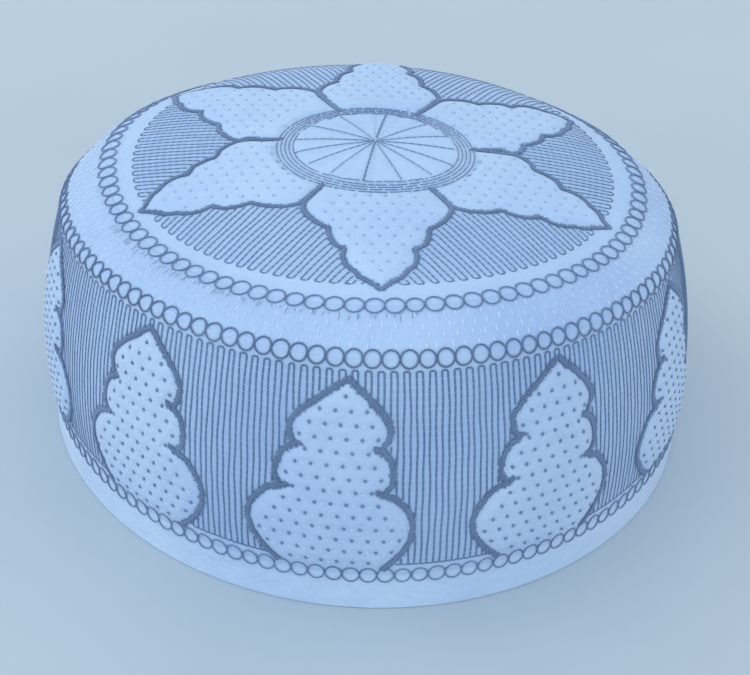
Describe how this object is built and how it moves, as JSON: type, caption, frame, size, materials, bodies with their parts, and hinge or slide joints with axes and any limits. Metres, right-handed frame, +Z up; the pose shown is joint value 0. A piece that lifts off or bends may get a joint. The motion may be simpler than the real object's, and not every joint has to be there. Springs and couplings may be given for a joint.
{
  "type": "prayer cap",
  "caption": "Round brimless prayer cap of padded cotton with a domed crown, a padded shoulder, a tall side band and a plain hem.",
  "frame": {"origin": "middle of the bounding box in plan, on the surface that the rim stands on", "axes": "+Z up through the crown, -Y the front that the picture shows"},
  "size_m": [0.1886, 0.1868, 0.0884],
  "materials": {
    "crown_panel_cotton": "soft padded cotton",
    "shoulder_band_cotton": "soft padded cotton",
    "side_band_cotton": "soft padded cotton",
    "hem_band_cotton": "pressed cotton"
  },
  "bodies": {
    "root": {"crown_panel": "crown_panel_cotton", "shoulder_band": "shoulder_band_cotton", "side_band": "side_band_cotton", "hem_band": "hem_band_cotton"}
  },
  "joints": []
}
